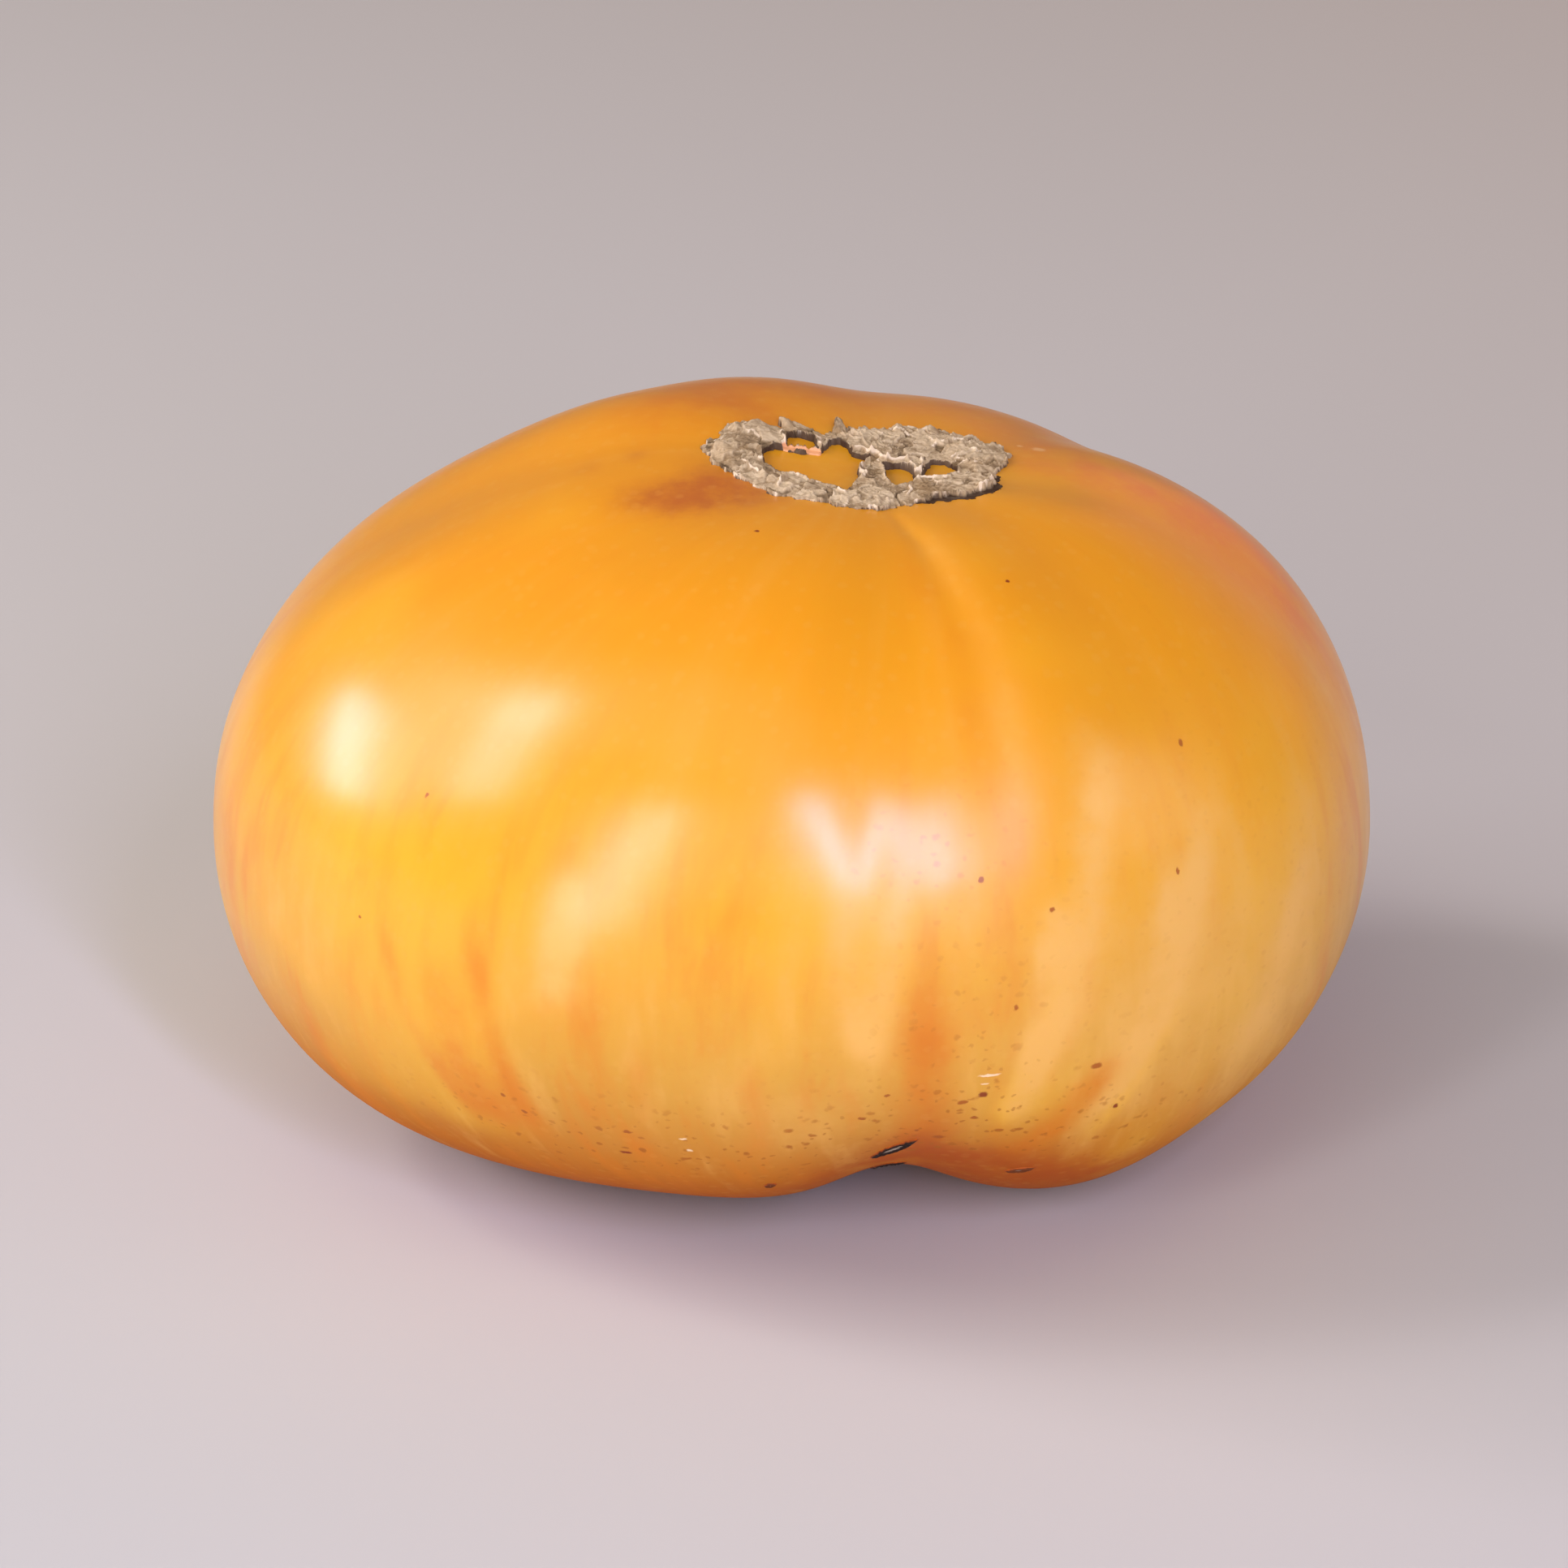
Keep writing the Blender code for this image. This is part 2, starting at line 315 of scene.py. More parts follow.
class Finish:
    # one material and its node tree
    def __init__(self, name):
        self.material = bpy.data.materials.new(name)
        self.material.use_nodes = True
        self.tree = self.material.node_tree
        self.shader = self.tree.nodes["Principled BSDF"]

    def node(self, kind, settings=None, inputs=None, output=0):
        made = self.tree.nodes.new(kind)
        for key, value in (settings or {}).items():
            if key == "stops":
                ramp = made.color_ramp.elements
                while len(ramp) < len(value):
                    ramp.new(0.5)
                for stop, (place, colour) in zip(ramp, value):
                    stop.position = place
                    stop.color = (*colour, 1)
            else:
                setattr(made, key, value)
        for key, value in (inputs or {}).items():
            self.fill(made.inputs[key], value)
        return Wire(self, made.outputs[output])

    def fill(self, socket, value):
        if isinstance(value, Wire):
            self.tree.links.new(value.socket, socket)
        elif socket.type == "RGBA":
            socket.default_value = (*value, 1)
        else:
            socket.default_value = value

    def set(self, inputs):
        # the shader's own sockets
        for key, value in inputs.items():
            self.fill(self.shader.inputs[key], value)

    def place(self):
        return self.node("ShaderNodeTexCoord", output="Object")

    def attribute(self, name):
        return self.node("ShaderNodeAttribute", {"attribute_name": name}, output="Vector")

    def split(self, vector):
        return [self.node("ShaderNodeSeparateXYZ", None, {0: vector}, output=axis) for axis in range(3)]

    def stretch(self, vector, scale):
        return self.node("ShaderNodeVectorMath", {"operation": "MULTIPLY"}, {0: vector, 1: scale})

    def shift(self, vector, other):
        return self.node("ShaderNodeVectorMath", {"operation": "ADD"}, {0: vector, 1: other})

    def noise(self, vector, scale, detail=3.0, roughness=0.5):
        inputs = {"Vector": vector, "Scale": scale, "Detail": detail, "Roughness": roughness}
        return self.node("ShaderNodeTexNoise", None, inputs)

    def warp(self, vector, scale, amount):
        # the place moved about by a coloured noise, so that edges drawn from it aren't round
        colour = self.node("ShaderNodeTexNoise", None, {"Vector": vector, "Scale": scale}, output=1)
        centred = self.shift(colour, (-0.5, -0.5, -0.5))
        return self.shift(vector, self.stretch(centred, (amount, amount, amount)))

    def dots(self, vector, scale, output=0):
        return self.node("ShaderNodeTexVoronoi", None, {"Vector": vector, "Scale": scale}, output=output)

    def ease(self, value, low, high, start=0.0, end=1.0):
        inputs = {"Value": value, "From Min": low, "From Max": high, "To Min": start, "To Max": end}
        return self.node("ShaderNodeMapRange", {"interpolation_type": "SMOOTHSTEP"}, inputs)

    def mix(self, first, second, share):
        return self.node("ShaderNodeMix", {"data_type": "RGBA"}, {0: share, 6: first, 7: second}, output=2)

    def ramp(self, value, stops):
        return self.node("ShaderNodeValToRGB", {"stops": stops}, {0: value})

    def distanceTo(self, vector, point):
        return self.node("ShaderNodeVectorMath", {"operation": "DISTANCE"}, {0: vector, 1: point}, output=1)

    def bump(self, height, distance, strength):
        inputs = {"Height": height, "Distance": distance, "Strength": strength}
        return self.node("ShaderNodeBump", None, inputs)


skinLook = {
    "columns": 380,
    "rings": 238,
    "colours": {
        "upper": (0.77, 0.302, 0.005),
        "middle": (0.80, 0.366, 0.009),
        "lower": (0.66, 0.330, 0.033),
        # heel and bottom: painted shade, darker where the fruit comes down to the floor
        "heel": (0.54, 0.156, 0.003),
        "bottom": (0.40, 0.090, 0.003),
        "pale": (0.82, 0.44, 0.085),
        "yellow": (0.86, 0.45, 0.02),
        "deep": (0.68, 0.200, 0.005),
        "blush": (0.76, 0.215, 0.050),
        "bruise": (0.50, 0.130, 0.012),
        # painted shade: a darker orange-brown where the notch and lower rim of the blossom end lie in shade
        "burnt": (0.46, 0.090, 0.003),
        "speck": (0.42, 0.120, 0.003),
        "dark": (0.22, 0.018, 0.002),
        "brown": (0.38, 0.090, 0.004),
        "cream": (0.95, 0.68, 0.38),
        "tan": (0.86, 0.44, 0.13),
    },
    # heights over the floor in m between which a colour grows in
    "upperBand": (0.036, 0.062),
    "lowerBand": (0.044, 0.022),
    # the heel and bottom bands place that painted shade
    "heelBand": (0.026, 0.008),
    "bottomBand": (0.012, 0.001),
    "streakBand": (0.058, 0.028),
    "roughness": (0.34, 0.42),
    "heelRoughness": 0.5,  # added over the heel's band
    "coat": 0.62,
    "coatBand": (0.010, 0.034),
    "coatRoughness": 0.24,
    "specular": 0.22,
    # soft zones: what shows in it, longitude, polar angle, half width, half length in degrees, and strength
    "zones": (
        ("yellow", -140, 78, 7, 18, 0.45),
        ("yellow", -128, 78, 4, 17, 0.2),
        ("yellow", -66, 106, 7, 8, 0.4),
        ("pale", -56, 88, 26, 34, 0.4),
        ("pale", -92, 108, 10, 14, 0.4),
        # painted highlight: a soft pale patch carrying a highlight down past where the lamps reach
        ("pale", -111, 81, 3, 9, 0.35),
        ("pale", -34, 108, 16, 22, 0.4),
        ("blush", 60, 22, 45, 12, 0.4),
        ("blush", 4, 40, 14, 26, 0.55),
        ("blush", -40, 134, 30, 12, 0.3),
        ("deep", 140, 17, 35, 8, 0.9),
        ("deep", 100, 20, 30, 8, 0.4),
        ("deep", 20, 22, 30, 8, 0.6),
        ("bruise", -151, 22.0, 11, 3.6, 0.55),
        ("bruise", -145, 18, 14, 3.0, 0.55),
        ("bruise", -145, 13.5, 22, 3.0, 0.75),
        ("bruise", -160, 15, 12, 2.2, 0.35),
        ("bruise", -150, 19, 28, 7.5, 0.25),
        ("bruise", -175, 25.5, 5, 1.6, 0.3),
        ("bruise", -178, 21, 5, 1.2, 0.3),
        # painted shade round the notch at the blossom end and along the lower rim
        ("burnt", -76, 130, 14, 13, 0.9),
        ("burnt", -54, 136, 22, 14, 0.7),
        ("burnt", -110, 138, 40, 13, 0.5),
        ("yellow", -120, 5, 400, 6, 0.35),
        ("freckled", -80, 117, 26, 10, 1.2),
        ("freckled", -74, 99, 7, 16, 0.45),
        ("freckled", -78, 66, 7, 8, 0.35),
        ("freckled", -114, 115, 16, 8, 0.8),
        ("freckled", -30, 105, 60, 60, 0.12),
    ),
    # streaks along the ribs: colour, the places that they run through, half width in degrees, and strength
    "streaks": (
        ("pale", ((-59, 57), (-63, 78), (-66.5, 97)), 2.6, 0.6),
        ("yellow", ((-64, 84), (-67, 96), (-70, 110)), 1.1, 0.8),
        ("pale", ((-47.5, 70), (-52, 88), (-57.5, 106)), 2.4, 0.55),
        ("yellow", ((-52, 96), (-56, 106), (-60, 117)), 1.3, 0.55),
        ("pale", ((-30.5, 75), (-35.5, 92), (-41, 112)), 2.4, 0.45),
        # painted light: a pale band on the lit right side of the front crease
        ("pale", ((-77, 15), (-72, 20), (-68.5, 38), (-69, 60)), 2.0, 0.3),
        ("pale", ((-86.5, 72), (-86, 84), (-83.5, 97)), 2.0, 0.55),
        # painted shade: a deep band on the shaded left side of the front crease
        ("deep", ((-79, 22), (-73, 38), (-73, 55)), 2.4, 0.35),
        ("blush", ((-2, 28), (0, 42), (-4, 58), (-9, 76)), 10, 0.35),
        ("deep", ((-78.3, 84), (-77.9, 98), (-79.2, 123)), 3.4, 0.7),
        # painted shade down the lower end of the front furrow to the notch
        ("burnt", ((-78.0, 92), (-77.9, 102), (-79.2, 123)), 2.6, 0.25),
        ("pale", ((-81.5, 72), (-81.5, 82), (-83, 92)), 2.0, 0.8),
        ("pale", ((-113, 72), (-113.5, 84), (-114, 90)), 2.4, 0.8),
        ("deep", ((-60, 103), (-62, 108), (-65, 115), (-68, 122)), 2.6, 0.85),
        ("pale", ((-66, 78), (-66.3, 90), (-68, 102), (-69, 108)), 1.5, 0.9),
        ("pale", ((-53, 78), (-55, 97), (-58, 105), (-60.5, 112)), 1.4, 0.8),
        ("deep", ((-125, 90), (-124.5, 102), (-122, 116)), 3.2, 0.7),
        ("deep", ((-94.5, 98), (-95, 116)), 1.6, 0.5),
        ("deep", ((-105, 96), (-107, 118)), 1.8, 0.4),
        ("deep", ((-122, 80), (-120, 96), (-118, 114)), 1.6, 0.6),
        ("deep", ((-133, 84), (-130, 98), (-126, 112)), 1.4, 0.45),
        ("deep", ((-112, 104), (-108, 114), (-105, 124)), 1.6, 0.4),
    ),
    # brown freckles in two sizes: cells to a metre, how rare they are, and strength
    "freckles": ((900.0, 0.15, 0.70), (560.0, 0.40, 0.90)),
    # single marks: longitude, polar angle, half width in mm, how many times wider than tall, and colour
    "marks": (
        (-72.5, 105.0, 0.40, 1.2, "dark"),
        (-74.5, 106.6, 0.46, 1.7, "brown"),
        (-61.0, 102.5, 0.50, 1.4, "brown"),
        (-58.0, 111.5, 0.25, 0.9, "dark"),
        (-84.5, 109.0, 0.34, 1.8, "brown"),
        (-82.0, 104.0, 0.30, 1.8, "brown"),
        (-79.0, 113.8, 0.24, 1.2, "brown"),
        (-76.6, 116.3, 0.58, 2.2, "brown"),
        (-73.2, 110.5, 0.42, 2.2, "brown"),
        (-73.0, 70.5, 0.22, 0.7, "brown"),
        (-66.0, 76.0, 0.24, 1.2, "brown"),
        (-69.6, 90.0, 0.24, 1.0, "brown"),
        (-51.5, 75.0, 0.20, 0.6, "brown"),
        (-47.0, 58.0, 0.22, 0.6, "brown"),
        (-117.5, 21.0, 0.22, 1.3, "dark"),
        (-61.0, 30.5, 0.22, 1.3, "dark"),
        (-109.5, 117.0, 0.56, 2.6, "dark"),
        (-108.0, 111.5, 0.46, 2.4, "brown"),
        (-120.5, 108.0, 0.24, 1.0, "brown"),
        (-118.8, 110.7, 0.26, 1.2, "brown"),
        (-132.0, 65.5, 0.22, 0.8, "brown"),
        (-136.0, 85.0, 0.20, 1.4, "brown"),
        (-72.0, 101.2, 0.98, 6.5, "cream"),
        (-72.4, 102.8, 0.42, 4.0, "cream"),
        (21.4, 19.1, 0.60, 1.2, "tan"),
        (26.0, 17.6, 0.30, 1.0, "tan"),
        (-102.6, 112.2, 0.34, 3.0, "cream"),
        (-102.4, 115.0, 0.28, 1.5, "cream"),
    ),
}


def zoneMask(longitude, polar, middle, down, halfWidth, halfLength):
    # a bell across the longitude times a bell down the polar angle, both in degrees
    across = turnBetween(longitude, middle * degree) / (halfWidth * degree)
    along = (polar - down * degree) / (halfLength * degree)
    return np.exp(-(across**2) - along**2)


def streakMask(longitude, polar, places, halfWidth):
    # a bell across a line bent through the places, fading out past its two ends
    angles = [place[0] * degree for place in places]
    downs = [place[1] * degree for place in places]
    middle = np.interp(polar, downs, angles)
    across = turnBetween(longitude, middle) * np.sin(polar) / (halfWidth * degree)
    length = downs[-1] - downs[0]
    ends = smoothStep(polar, downs[0] - 0.3 * length, downs[0] + 0.2 * length)
    ends = ends * (1 - smoothStep(polar, downs[-1] - 0.2 * length, downs[-1] + 0.3 * length))
    return np.exp(-(across**2)) * ends


# the colours that the skin's attributes carry, three to each
tintKinds = {
    "warmth": ("yellow", "pale", "deep"),
    # blush and bruise are the skin's own colours; the third is painted shade
    "marks": ("blush", "bruise", "burnt"),
    "dirt": ("freckled", "none", "none"),
}


def skinTints(longitude, polar):
    # how strong each kind of colour is at each point: the sum of its zones and streaks, at most 1
    masks = {kind: np.zeros(len(polar)) for kinds in tintKinds.values() for kind in kinds}
    for kind, middle, down, halfWidth, halfLength, strength in skinLook["zones"]:
        masks[kind] += strength * zoneMask(longitude, polar, middle, down, halfWidth, halfLength)
    for kind, places, halfWidth, strength in skinLook["streaks"]:
        masks[kind] += strength * streakMask(longitude, polar, places, halfWidth)
    return {name: np.clip(np.stack([masks[kind] for kind in kinds], axis=-1), 0, 1)
            for name, kinds in tintKinds.items()}


def bandColour(f, height, place):
    # the colour from the shoulders down, with long watery streaks that grow towards the blossom end, and
    # painted shade near the floor: the heel and bottom colours darken it where the fruit rests
    colours = skinLook["colours"]
    low = f.ease(height, *skinLook["lowerBand"])
    high = f.ease(height, *skinLook["upperBand"])
    colour = f.mix(f.mix(colours["middle"], colours["lower"], low), colours["upper"], high)
    # painted shade towards the floor
    colour = f.mix(colour, colours["heel"], f.ease(height, *skinLook["heelBand"]))
    around = f.attribute("around")
    streaky = f.ease(height, *skinLook["streakBand"], 0.12, 0.8)
    wide = f.noise(f.warp(f.stretch(around, (1, 1, 0.16)), 6.0, 0.10), 8.0, 3.0, 0.55)
    thin = f.noise(f.warp(f.stretch(around, (1, 1, 0.22)), 10.0, 0.05), 21.0, 3.0, 0.6)
    both = wide * 0.72 + thin * 0.28
    colour = f.mix(colour, colours["deep"], f.ease(both, 0.48, 0.68) * streaky * 0.75)
    colour = f.mix(colour, colours["pale"], f.ease(both, 0.50, 0.32) * streaky * 0.65)
    colour = f.mix(colour, colours["yellow"], f.ease(f.noise(place, 42.0, 2.0), 0.50, 0.75) * 0.45)
    # painted shade, darkest where the fruit rests
    return f.mix(colour, colours["bottom"], f.ease(height, *skinLook["bottomBand"]))


def addTints(f, colour, place, masks):
    # the zones and streaks, with cloudy edges: mask * noise, eased
    cloud = f.ease(f.noise(place, 130.0, 4.0, 0.6), 0.3, 0.7, 0.6, 1.25)
    fleck = f.ease(f.noise(place, 230.0, 4.0, 0.65), 0.30, 0.75, 0.7, 1.25)
    for kind in ("yellow", "pale", "deep", "blush", "bruise", "burnt"):
        edge = fleck if kind == "bruise" else cloud
        colour = f.mix(colour, skinLook["colours"][kind], f.ease(masks[kind] * edge, 0.0, 1.1))
    return colour


def addFreckles(f, colour, place, freckled):
    # fine pores all over, and brown freckles a little wider than tall, in cells that are mostly left out
    pores = f.ease(f.dots(f.warp(place, 900.0, 0.0006), 620.0), 0.16, 0.34, 1, 0)
    colour = f.mix(colour, skinLook["colours"]["pale"], pores * 0.08)
    squeezed = f.stretch(f.warp(place, 1000.0, 0.0010), (1, 1, 1.3))
    for scale, rarity, share in skinLook["freckles"]:
        present = f.ease(f.split(f.dots(squeezed, scale, 1))[0], rarity, rarity + 0.3)
        freckles = f.ease(f.dots(squeezed, scale), 0.12, 0.28, 1, 0) * present * freckled
        colour = f.mix(colour, skinLook["colours"]["speck"], freckles * share)
    return colour


def addMarks(f, colour, place):
    # each mark is where the warped distance from its middle, with the height stretched, is small
    warped = f.warp(place, 1500.0, 0.0005)
    for longitude, down, halfWidth, flatness, kind in skinLook["marks"]:
        point = skinAt(np.array([longitude * degree]), np.array([down * degree]))[0]
        squeeze = (1, 1, flatness)
        near = f.distanceTo(f.stretch(warped, squeeze), tuple(point * squeeze))
        mask = f.ease(near, 0.6 * halfWidth * mm, 1.25 * halfWidth * mm, 1, 0)
        colour = f.mix(colour, skinLook["colours"][kind], mask * 0.92)
    return colour


def makeSkinFinish():
    # bands of colour with painted shade near the floor, then tints, some of them painted light and shade,
    # freckles and marks over them; waxy, and dull near the floor
    f = Finish("tomatoSkinFinish")
    place = f.place()
    height = f.split(place)[2]
    masks = {}
    for name, kinds in tintKinds.items():
        masks.update(zip(kinds, f.split(f.attribute(name))))
    colour = bandColour(f, height, place)
    colour = addTints(f, colour, place, masks)
    colour = addFreckles(f, colour, place, masks["freckled"])
    colour = addMarks(f, colour, place)
    gloss = f.ease(f.noise(place, 150.0, 3.0), 0.3, 0.7, *skinLook["roughness"])
    roughness = gloss + f.ease(height, *skinLook["heelBand"], 0.0, skinLook["heelRoughness"])
    coat = f.ease(height, *skinLook["coatBand"], 0.0, skinLook["coat"])
    relief = f.bump(f.noise(place, 700.0, 3.0, 0.55), 0.00004, 0.15)
    f.set({"Base Color": colour, "Roughness": roughness, "Normal": relief, "Coat Weight": coat})
    f.set({"Subsurface Weight": 0.12, "Subsurface Radius": (1.0, 0.38, 0.08), "Subsurface Scale": 0.004})
    f.set({"Coat Roughness": skinLook["coatRoughness"], "Specular IOR Level": skinLook["specular"]})
    return f.material


def makeSkin():
    # a sphere's grid of longitudes and polar angles, laid on the fruit's form
    rings, columns = skinLook["rings"], skinLook["columns"]
    downs = np.linspace(0, math.pi, rings + 2)
    turns = np.arange(columns) * 2 * math.pi / columns - math.pi
    polar = np.concatenate([[0], np.repeat(downs[1:-1], columns), [math.pi]])
    longitude = np.concatenate([[0], np.tile(turns, rings), [0]])
    points = skinAt(longitude, polar)
    around = np.stack([np.cos(longitude), np.sin(longitude), polar], axis=-1)
    attributes = {"around": around, **skinTints(longitude, polar)}
    skin = makeMesh("tomatoSkin", points, rings, columns, makeSkinFinish(), attributes)
    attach(skin, "root")
    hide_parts("fruit")
    return skin


def fromLine(x, y, first, last):
    # how far each place is from the line between two places, in mm
    (ax, ay), (bx, by) = first, last
    share = np.clip(((x - ax) * (bx - ax) + (y - ay) * (by - ay)) / ((bx - ax) ** 2 + (by - ay) ** 2), 0, 1)
    return np.hypot(x - ax - share * (bx - ax), y - ay - share * (by - ay))


def fromOutline(x, y, outline):
    # how far inside a closed outline each place is, in mm; outside it is below 0
    nearest = np.full(len(x), 1e9)
    inside = np.zeros(len(x), bool)
    for (ax, ay), (bx, by) in zip(outline, outline[1:] + outline[:1]):
        edgeX, edgeY = bx - ax, by - ay
        share = np.clip(((x - ax) * edgeX + (y - ay) * edgeY) / (edgeX**2 + edgeY**2), 0, 1)
        nearest = np.minimum(nearest, np.hypot(x - ax - share * edgeX, y - ay - share * edgeY))
        crosses = (ay > y) != (by > y)
        inside ^= crosses & (x < ax + (y - ay) * edgeX / np.where(edgeY == 0, 1e-9, edgeY))
    return np.where(inside, nearest, -nearest)


stemCork = {
    "columns": 620,
    "rings": 140,
    "seed": 31,
    # in mm: how far the mat dives under the skin past its rim and in its openings, and the size of its relief
    "sunk": 0.7,
    "body": 0.46,
    "crumple": 0.34,
    "flakeSize": 1.7,
    "flake": 0.24,
    "grit": 0.04,
    "lip": 0.28,
    "ragged": 1.1,
    # the rim: direction from the stem end in degrees, and distance in mm
    "rim": (
        (180, 13.9), (171, 12.6), (161, 12.3), (152, 11.1), (147, 8.6), (141, 9.3), (134, 8.6),
        (127, 6.7), (118, 6.5), (112, 7.4), (108, 8.0), (104, 6.6), (92, 7.6), (80, 8.0), (70, 9.1),
        (53, 11.2), (43, 12.0), (26, 13.2), (15, 14.0), (6, 12.9), (-10, 11.9), (-24, 12.2), (-35, 11.5),
        (-46, 9.9), (-56, 9.7), (-65, 9.9), (-80, 10.4), (-101, 10.6), (-114, 10.0), (-134, 11.2),
        (-146, 11.3), (-162, 13.0), (-172, 13.3),
    ),
    # the openings, in mm from the stem end
    "openings": (
        ((-8.8, 0.1), (-7.9, 1.2), (-6.7, 1.0), (-5.3, 1.0), (-4.1, 1.3), (-3.6, 2.2), (-3.0, 3.6),
         (-2.2, 3.9), (-1.6, 3.1), (-1.3, 1.9), (0.4, 1.1), (-0.3, 0.2), (-0.7, -0.9), (-0.8, -2.6),
         (-1.0, -4.4), (-1.8, -6.6), (-2.9, -6.4), (-3.8, -5.8), (-4.9, -5.2), (-5.7, -4.3), (-7.5, -3.6),
         (-8.7, -2.2)),
        ((-6.8, 1.8), (-6.7, 3.5), (-5.6, 3.9), (-4.5, 3.6), (-4.2, 1.9)),
        ((1.5, -0.2), (3.0, 0.1), (4.0, -0.9), (4.3, -3.0), (3.6, -5.0), (2.6, -5.4), (1.8, -3.5)),
        ((4.9, -2.9), (5.3, -0.2), (5.9, 1.2), (7.0, 1.0), (8.2, -0.3), (8.1, -2.1), (6.6, -3.1)),
    ),
    # a strip of skin left across an opening: its two ends, half width and height
    "tornSkin": ((-6.9, 1.4), (-4.2, 1.5), 0.36, 0.12),
    # flakes that stand up: direction, distance, height and reach
    "peaks": (
        (153, 10.2, 0.6, 0.9), (143, 8.8, 0.8, 1.1), (109, 7.3, 1.0, 1.2), (69, 8.5, 0.6, 0.8),
        (52, 9.8, 0.5, 0.9), (34, 11.9, 0.6, 0.9), (23, 12.9, 0.5, 0.8), (10, 13.1, 0.5, 1.0),
        (-178, 12.8, 0.4, 1.2), (164, 11.2, 0.4, 0.8),
    ),
    # edges that curl up, pale partly as a painted highlight: the two places that each lies between, half
    # width and height
    "curls": (
        ((-1.0, 2.4), (0.5, 1.6), 0.24, 0.45), ((0.5, 1.6), (2.0, 0.8), 0.22, 0.45),
        ((2.0, 0.8), (3.7, 0.5), 0.16, 0.35), ((3.7, 0.5), (4.5, -2.2), 0.16, 0.35),
        ((4.5, -2.2), (5.3, 1.5), 0.13, 0.35), ((4.5, -3.5), (7.4, -3.6), 0.14, 0.35),
        ((6.7, -7.4), (9.6, -6.6), 0.20, 0.40), ((9.6, -6.6), (11.6, -3.2), 0.16, 0.35),
        ((-7.1, -4.9), (-7.0, -6.1), 0.16, 0.35), ((-7.0, -6.1), (-7.6, -7.0), 0.16, 0.30),
        ((-9.6, 0.2), (-9.0, -0.2), 0.26, 0.40), ((-9.8, -1.5), (-9.1, -1.9), 0.26, 0.40),
        ((-0.4, -1.2), (-0.3, -3.8), 0.18, 0.40), ((-7.0, 3.6), (-7.1, 1.5), 0.14, 0.35),
        ((-4.2, 3.5), (-3.8, 1.7), 0.14, 0.35), ((-1.2, 5.7), (0.3, 6.2), 0.16, 0.30),
        ((2.8, 7.0), (4.2, 6.1), 0.16, 0.30), ((6.6, 4.8), (9.4, 5.9), 0.18, 0.35),
        ((-3.2, -6.9), (-1.7, -8.0), 0.15, 0.30), ((4.0, -5.3), (3.6, -8.0), 0.14, 0.30),
        ((-10.6, -2.6), (-9.6, -4.3), 0.12, 0.25), ((7.9, 1.7), (10.2, 2.9), 0.12, 0.25),
    ),
    "gap": (-60, -8, 0.85, 0.25),  # painted shadow in the gap under a lifted rim: from and to in degrees, width, lift
    "tones": (
        (0.0, (0.055, 0.030, 0.011)),
        (0.20, (0.160, 0.106, 0.048)),
        (0.42, (0.320, 0.222, 0.106)),
        (0.72, (0.600, 0.465, 0.260)),
    ),
    "warm": (0.38, 0.235, 0.088),
    # pale edges: the cork's own paler curls, and partly a painted highlight on edges that stand up
    "pale": (0.86, 0.70, 0.44),
    # painted shade: near black for walls, low places and the gap under the lifted rim
    "under": (0.040, 0.016, 0.006),
    "torn": (0.88, 0.42, 0.17),
}


# what both mats of cork share, in mm
corkRelief = {
    "wideWarp": (0.50, 1.1),  # how far each place is moved, and the size of the noise that moves it
    "fineWarp": (0.12, 0.35),
    "ragged": ((0.30, 0.75), (0.16, 0.3)),  # how far an edge wanders, and the size of the noise for it
    "thinning": 1.8,  # the width over which a mat thins towards an edge
    "least": 0.08,  # the least thickness
    "wall": (-0.12, 0.10),  # where a wall starts and ends, measured inwards from an edge
    "lip": (0.14, 0.16),  # the middle and width of a lip, measured so too
    # the gap's height, low enough to take the painted shade
    "gapHeight": 0.035,
    "past": 1.1,  # how far the mesh goes past the rim, under the skin
    "core": 3.0,  # how far below the skin its underside comes to a point
}


def moved(start, flat, shift, seed):
    # each place moved by a wide noise and a fine one
    wide, wideSize = corkRelief["wideWarp"]
    fine, fineSize = corkRelief["fineWarp"]
    start = start + wide * latticeNoise(flat / wideSize + shift, seed)
    return start + fine * latticeNoise(flat / fineSize, seed + 4)


def corkEdges(x, y, flat, spec, bigTop):
    # how far inside the rim and outside the openings each place is, in mm, with ragged noise on both and
    # spikes, 1 less twice the size of a noise, round the rim
    seed = spec["seed"]
    direction = np.arctan2(y, x)
    roundRim = np.stack([3.1 * np.cos(direction) + 9, 3.1 * np.sin(direction), np.hypot(x, y) / 9], axis=-1)
    spikes = 1 - 2 * np.abs(latticeNoise(roundRim * 2.2, seed + 3))
    rim = [(r * math.cos(a * degree), r * math.sin(a * degree)) for a, r in spec["rim"]]
    (wide, wideSize), (fine, fineSize) = corkRelief["ragged"]
    ragged = wide * latticeNoise(flat / wideSize, seed) + fine * latticeNoise(flat / fineSize, seed + 1)
    rimEdge = fromOutline(x, y, rim) + spec["ragged"] * (ragged + 0.35 * (spikes - 0.55) + 0.12 * bigTop)
    holeEdge = np.full(len(x), 1e3)
    for opening in spec["openings"]:
        holeEdge = np.minimum(holeEdge, -fromOutline(x, y, list(opening)))
    return rimEdge, holeEdge + 0.55 * spec["ragged"] * ragged


